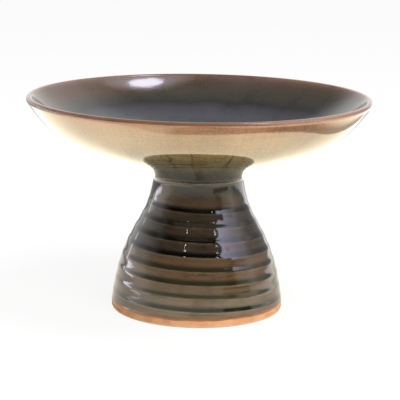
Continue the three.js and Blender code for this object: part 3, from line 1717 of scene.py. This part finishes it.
@dataclass(frozen=True)
class Table:
    """The pale table: it shows white, keeps the plate's shadow and is uneven in the glaze.

    Places on it are in metres from under the plate's middle, x to the right and y to the back,
    and its lean is in radians. Levels are strengths of light. The part under the plate ends in
    front and at the right in a round edge, and past that lies the front. A mirrored ray that
    comes down steeply sees other levels than a shallow one, and a ray that the glaze mirrors
    twice sees a darker table.
    """

    half: float = 3.0
    tone: float = 0.75
    shown_level: float = 1.09
    shown_share: float = 0.8
    once_depth: float = 1.5
    twice_share: float = 0.75
    steep: Range = (0.64, 0.74)
    edge_lean: float = math.radians(11.0)
    edge_start: float = 0.03
    edge_radius: float = 0.1322
    edge_blend: Range = (-0.002, 0.002)
    front_level: float = 2.1
    middle_starts: Range = (-0.05, -0.02)
    middle_ends: Range = (0.04, 0.1)
    beside_x: Range = (0.04, 0.1)
    beside_edge: Range = (0.01, 0.035)
    beside_loss: float = 0.7
    near_reach: Range = (0.055, 0.105)
    near_levels: Range = (1.9, 2.4)
    right_x: Range = (0.04, 0.11)
    right_loss: float = 0.35
    slope_y: Range = (-0.07, 0.01)
    slope_levels: Range = (0.35, -0.25)
    slope_starts: Range = (0.02, 0.05)
    far_y: Range = (0.25, 0.45)
    far_level: float = 0.75
    shallow_loss: float = 0.3
    streak_starts: tuple[Range, Range] = ((-0.46, -0.42), (-0.2, -0.16))
    streak_ends: tuple[Range, Range] = ((-0.22, -0.2), (0.01, 0.03))
    streak_level: float = 5.0
    streak_tint: Light = (0.92, 0.9, 1.0)
    cream: Light = (1.0, 0.9, 0.72)
    cream_y: Range = (0.1, 0.35)
    shallow_white: float = 0.4

    def build(self) -> None:
        """Makes the table and hands it to the stage."""
        mesh = bpy.data.meshes.new("table")
        half = self.half
        corners = [(-half, -half, 0), (half, -half, 0), (half, half, 0), (-half, half, 0)]
        mesh.from_pydata(corners, [], [(0, 1, 2, 3)])
        mesh.materials.append(self.material())
        table = bpy.data.objects.new("table", mesh)
        bpy.context.scene.collection.objects.link(table)

    def past_edge(self, graph: Graph, x: Socket, y: Socket) -> Socket:
        """Gives how far a place is past the round edge of the part under the plate.

        Args:
            graph: The table's graph.
            x: The place's way to the right.
            y: Its way to the back.

        Returns:
            The socket of the distance, below 0 under the plate.
        """
        cosine, sine = math.cos(self.edge_lean), math.sin(self.edge_lean)
        across = graph.math("SUBTRACT", graph.product(x, cosine), graph.product(y, sine))
        along = graph.math("ADD", graph.product(x, sine), graph.product(y, cosine))
        along = graph.math("SUBTRACT", along, self.edge_start)
        to_right = graph.math("MAXIMUM", across, 0.0)
        to_front = graph.math("MINIMUM", along, 0.0)
        return graph.math("SUBTRACT", graph.length(to_right, to_front), self.edge_radius)

    def front(self, graph: Graph, x: Socket, past: Socket, steep: Socket) -> Socket:
        """Gives the front's level: lower in the middle, and beside the edge at the right.

        Args:
            graph: The table's graph.
            x: The place's way to the right.
            past: How far it is past the edge.
            steep: 1 for a steep ray and 0 for a shallow one.

        Returns:
            The socket of the level.
        """
        beside = graph.product(
            graph.ease(x, *self.beside_x), graph.fall(past, *self.beside_edge), steep
        )
        middle = graph.between(x, self.middle_starts, self.middle_ends)
        level = graph.math("SUBTRACT", self.front_level, middle)
        return graph.product(level, graph.rest(graph.product(beside, self.beside_loss)))

    def under(self, graph: Graph, x: Socket, y: Socket, shallow: Socket) -> Socket:
        """Gives the level under the plate and behind it.

        Args:
            graph: The table's graph.
            x: The place's way to the right.
            y: Its way to the back.
            shallow: 1 for a shallow ray and 0 for a steep one.

        Returns:
            The socket of the level.
        """
        round_foot = graph.ease(graph.length(x, y), *self.near_reach, *self.near_levels)
        right = graph.ease(x, *self.right_x, 0.0, self.right_loss)
        slope = graph.ease(y, *self.slope_y, *self.slope_levels)
        aside = graph.ease(graph.math("ABSOLUTE", x), *self.slope_starts)
        near = graph.math("SUBTRACT", round_foot, right)
        near = graph.math("ADD", near, graph.product(slope, aside))
        level = graph.ease(y, *self.far_y, near, self.far_level)
        return graph.product(level, graph.rest(graph.product(shallow, self.shallow_loss)))

    def tint(self, graph: Graph, y: Socket, shallow: Socket, streak: Socket) -> Socket:
        """Gives the tint in the glaze: cream in front, whiter far off and for a shallow ray.

        Args:
            graph: The table's graph.
            y: The place's way to the back.
            shallow: 1 for a shallow ray and 0 for a steep one.
            streak: 1 on the bright streak at the left.

        Returns:
            The socket of the tint.
        """
        white = tinted(WHITE)
        tint = graph.mix(graph.ease(y, *self.cream_y), tinted(self.cream), white)
        tint = graph.mix(graph.product(shallow, self.shallow_white), tint, white)
        return graph.mix(streak, tint, tinted(self.streak_tint))

    def mirrored(self, graph: Graph, depth: Socket) -> tuple[Socket, Socket]:
        """Adds what the glaze mirrors of the table.

        Args:
            graph: The table's graph.
            depth: How many times the ray has bounced.

        Returns:
            The sockets of its level and of its tint.
        """
        x, y, _ = graph.split(graph.add("ShaderNodeTexCoord").outputs["Object"])
        facing = graph.add("ShaderNodeLayerWeight").outputs["Facing"]
        steep = graph.fall(facing, *self.steep)
        shallow = graph.rest(steep)
        once = graph.math("LESS_THAN", depth, self.once_depth)
        streak = graph.product(
            once,
            graph.between(x, self.streak_starts[0], self.streak_ends[0]),
            graph.between(y, self.streak_starts[1], self.streak_ends[1]),
            shallow,
        )
        past = self.past_edge(graph, x, y)
        in_front = graph.ease(past, *self.edge_blend)
        under = self.under(graph, x, y, shallow)
        under = graph.math("ADD", under, graph.product(streak, self.streak_level))
        level = graph.math(
            "ADD",
            graph.product(in_front, self.front(graph, x, past, steep)),
            graph.product(graph.rest(in_front), under),
        )
        level = graph.product(level, graph.ease(once, 0.0, 1.0, self.twice_share, 1.0))
        return level, self.tint(graph, y, shallow, streak)

    def material(self) -> bpy.types.Material:
        """Makes the table's material.

        Returns:
            The material.
        """
        material, graph = new_material("table_white")
        cloth = graph.add("ShaderNodeBsdfDiffuse")
        cloth.inputs["Color"].default_value = (self.tone, self.tone, self.tone, 1.0)
        rays = graph.add("ShaderNodeLightPath").outputs
        level, tint = self.mirrored(graph, rays["Ray Depth"])
        shown = graph.math("MAXIMUM", rays["Is Camera Ray"], rays["Is Transmission Ray"])
        strength = graph.math(
            "ADD",
            graph.product(shown, self.shown_level),
            graph.product(rays["Is Glossy Ray"], level),
        )
        glow = graph.add("ShaderNodeEmission")
        graph.feed(glow.inputs["Color"], graph.mix(rays["Is Glossy Ray"], tinted(WHITE), tint))
        graph.feed(glow.inputs["Strength"], strength)
        share = graph.math("MAXIMUM", graph.product(shown, self.shown_share), rays["Is Glossy Ray"])
        joined = graph.add("ShaderNodeMixShader")
        graph.feed(joined.inputs[0], share)
        graph.feed(joined.inputs[1], cloth.outputs[0])
        graph.feed(joined.inputs[2], glow.outputs[0])
        finish_material(graph, joined.outputs[0])
        return material


@dataclass(frozen=True)
class Room:
    """The room: white behind the plate, soft grey as light, banded in reflections.

    Sides are in degrees round to the right of the front, heights in degrees up from level, and
    levels are strengths of light. Only a ray that the glaze mirrors once sees the patches.
    """

    ambient: float = 0.5
    wall_sides: Range = (50.0, 100.0)
    wall_levels: Range = (0.1, 0.5)
    horizon_heights: Range = (5.0, 16.0)
    horizon_level: float = 1.25
    horizon_loss: Light = (0.0, 0.05, 0.22)
    dark_starts: tuple[Range, Range] = ((-85.0, -65.0), (20.0, 28.0))
    dark_ends: tuple[Range, Range] = ((43.0, 45.0), (52.0, 56.0))
    dark_share: float = 0.9
    back_heights: Range = (38.0, 66.0)
    back_levels: Range = (1.25, 0.2)
    back_starts: Range = (-0.25, 0.1)
    left_x: Range = (-0.5, 0.0)
    left_lower: Range = (26.0, 30.0)
    once_depth: float = 2.5
    twice_share: float = 0.85
    patches: tuple[Patch, ...] = (
        Patch("overhead_lamp", 86, 68.5, (0.14, 0.07), 15.5, BRIGHT_SKY, spin=-40, soft=0.12, oval=True),
        Patch("overhead_halo", 86, 68.5, (0.31, 0.1), 3.6, LILAC, spin=-43, soft=0.6, oval=True),
        Patch("window", 73, 39, (0.41, 0.31), 6.0, SKY, spin=-10, soft=0.04, fade=1.0),
        Patch("window_gap", 51, 20, (0.12, 0.17), -6.2, SKY, soft=0.12),
        Patch("right_wall", 84, 12, (0.5, 0.14), 0.4, WARM, soft=0.5),
        Patch("right_back", 122, 6, (0.55, 0.32), -0.8, soft=0.35),
        Patch("neck_wedge", 58, 4.2, (0.36, 0.03), -2.5, spin=-6.5, soft=0.15),
        Patch("left_window", -113, 1, (0.2, 0.032), 5.5, LILAC, soft=0.25),
        Patch("left_low", -100, 3, (0.6, 0.1), 1.1, WARM, soft=0.5),
        Patch("left_post", -131, 5, (0.03, 0.09), 2.2, soft=0.25),
        Patch("left_glint", -23, 37.8, (0.01, 0.009), 60),
        Patch("right_glint", 37, 36.8, (0.011, 0.015), 40),
    )

    def front(self, graph: Graph, side: Socket, height: Socket, horizon: Socket) -> Socket:
        """Gives the level in front: grey walls, a brighter horizon and a dark part above it.

        Args:
            graph: The world's graph.
            side: The direction's way round to the right.
            height: Its height.
            horizon: 1 near the horizon and 0 above it.

        Returns:
            The socket of the level.
        """
        walls = graph.ease(graph.math("ABSOLUTE", side), *self.wall_sides, *self.wall_levels)
        lift = graph.product(horizon, graph.math("SUBTRACT", self.horizon_level, walls))
        dark = graph.product(
            graph.between(side, self.dark_starts[0], self.dark_ends[0]),
            graph.between(height, self.dark_starts[1], self.dark_ends[1]),
        )
        level = graph.math("ADD", walls, lift)
        return graph.product(level, graph.rest(graph.product(dark, self.dark_share)))

    def back(self, graph: Graph, x: Socket, height: Socket) -> Socket:
        """Gives the level at the back, which falls with height and falls lower at the left.

        Args:
            graph: The world's graph.
            x: The direction's way to the right.
            height: Its height.

        Returns:
            The socket of the level.
        """
        left = graph.fall(x, *self.left_x)
        start, end = (
            graph.math("SUBTRACT", plain, graph.product(left, lower))
            for plain, lower in zip(self.back_heights, self.left_lower)
        )
        return graph.ease(height, start, end, *self.back_levels)

    def mirrored(self, graph: Graph, direction: Socket, depth: Socket) -> Socket:
        """Adds what the glaze mirrors of the room.

        Args:
            graph: The world's graph.
            direction: Where a ray goes.
            depth: How many times it has bounced.

        Returns:
            The socket of the light.
        """
        x, y, z = graph.split(direction)
        side = graph.math("ARCTAN2", x, graph.product(y, -1.0))
        side = graph.product(side, math.degrees(1))
        height = graph.product(graph.math("ARCSINE", z), math.degrees(1))
        horizon = graph.fall(height, *self.horizon_heights)
        behind = graph.ease(y, *self.back_starts)
        front = self.front(graph, side, height, horizon)
        change = graph.math("SUBTRACT", self.back(graph, x, height), front)
        level = graph.math("ADD", front, graph.product(behind, change))
        warmth = graph.product(horizon, graph.rest(behind))
        losses = [graph.rest(graph.product(warmth, loss)) for loss in self.horizon_loss]
        light = graph.vector(*(graph.product(level, kept) for kept in losses))
        once = graph.math("LESS_THAN", depth, self.once_depth)
        for patch in self.patches:
            light = graph.sum(light, graph.scaled(patch.glow(graph, direction), once))
        return graph.scaled(graph.lifted(light), graph.ease(once, 0.0, 1.0, self.twice_share, 1.0))

    def build(self) -> None:
        """Makes the world."""
        world = bpy.data.worlds.new("white_room")
        world.use_nodes = True
        world.node_tree.nodes.clear()
        graph = Graph(world.node_tree)
        rays = graph.add("ShaderNodeLightPath").outputs
        direction = graph.add("ShaderNodeTexCoord").outputs["Generated"]
        light = self.mirrored(graph, direction, rays["Ray Depth"])
        shown = graph.math("MAXIMUM", rays["Is Camera Ray"], rays["Is Transmission Ray"])
        plain = graph.math("ADD", self.ambient, graph.product(shown, 1 - self.ambient))
        colour = graph.mix(rays["Is Glossy Ray"], graph.vector(plain, plain, plain), light)
        background = graph.add("ShaderNodeBackground")
        graph.feed(background.inputs["Color"], colour)
        output = graph.add("ShaderNodeOutputWorld")
        graph.feed(output.inputs["Surface"], background.outputs[0])
        bpy.context.scene.world = world


@dataclass(frozen=True)
class Camera:
    """The photograph's camera.

    Lengths are in metres, angles in radians, the focal length and the image in the photograph's
    pixels, and the sensor's width in millimetres.
    """

    distance: float = 0.8441
    elevation: float = math.radians(11.918)
    roll: float = math.radians(0.918)
    aim: tuple[float, float, float] = (0.00103, 0.0, 0.05738)
    focal_pixels: float = 1596.1
    image_pixels: int = 400
    sensor: float = 36.0

    def build(self) -> None:
        """Makes the camera, which looks at the plate from the front and a little above."""
        data = bpy.data.cameras.new("photo_camera")
        data.sensor_width = self.sensor
        data.lens = self.focal_pixels / self.image_pixels * self.sensor
        camera = bpy.data.objects.new("photo_camera", data)
        right = Vector((1, 0, 0))
        up = Vector((0, math.sin(self.elevation), math.cos(self.elevation)))
        back = Vector((0, -math.cos(self.elevation), math.sin(self.elevation)))
        across = right * math.cos(self.roll) + up * math.sin(self.roll)
        upright = up * math.cos(self.roll) - right * math.sin(self.roll)
        turned = Matrix((across, upright, back)).transposed().to_4x4()
        camera.matrix_world = Matrix.Translation(Vector(self.aim) + back * self.distance) @ turned
        bpy.context.scene.collection.objects.link(camera)
        bpy.context.scene.camera = camera


@dataclass
class Studio:
    """A white table in a white room, soft lamps and the photograph's camera."""

    camera: Camera = Camera()
    table: Table = Table()
    room: Room = Room()
    lamps: tuple[Lamp, ...] = (
        Lamp("front_light", 25, 30, 1.5, 1.0, 12),
        Lamp("top_light", 60, 66, 1.5, 0.7, 12),
    )

    def build(self) -> None:
        """Makes the camera, the table, the room and the lamps."""
        self.camera.build()
        self.table.build()
        self.room.build()
        for lamp in self.lamps:
            lamp.build(Vector((0, 0, self.camera.aim[2])))
        bpy.context.scene.view_settings.view_transform = "Standard"


def dress(piece: bpy.types.Object, node: str) -> None:
    """Rides a piece on the body, lets it stand for its frame node and reports it.

    Args:
        piece: The finished piece.
        node: The frame node that it stands for.
    """
    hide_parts(node)
    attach(piece, BODY)
    log.info("%s: %d faces, stands for %s", piece.name, len(piece.data.polygons), node)


def main() -> None:
    """Builds the plate and the studio round the frame."""
    logging.basicConfig(level=logging.INFO, format="%(message)s")
    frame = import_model()
    Studio().build()
    dish = Dish()
    foot = PedestalFoot()
    seam = Seam(foot, dish)
    clay = BareClay().material()
    dress(dish.build(clay), "dish")
    foot_piece = foot.build()
    dress(foot_piece, "pedestal_foot")
    dress(seam.fillet(foot_piece.data.materials[0]), "outer_seam_fillet")
    dress(seam.coil(clay), "inner_seam_coil")
    slip = frame["nodes"]["luting_slip"]
    slip.data.materials.clear()
    slip.data.materials.append(clay)
    log.info("%s: kept as the frame's own solid", slip.name)


if __name__ == "__main__":
    main()
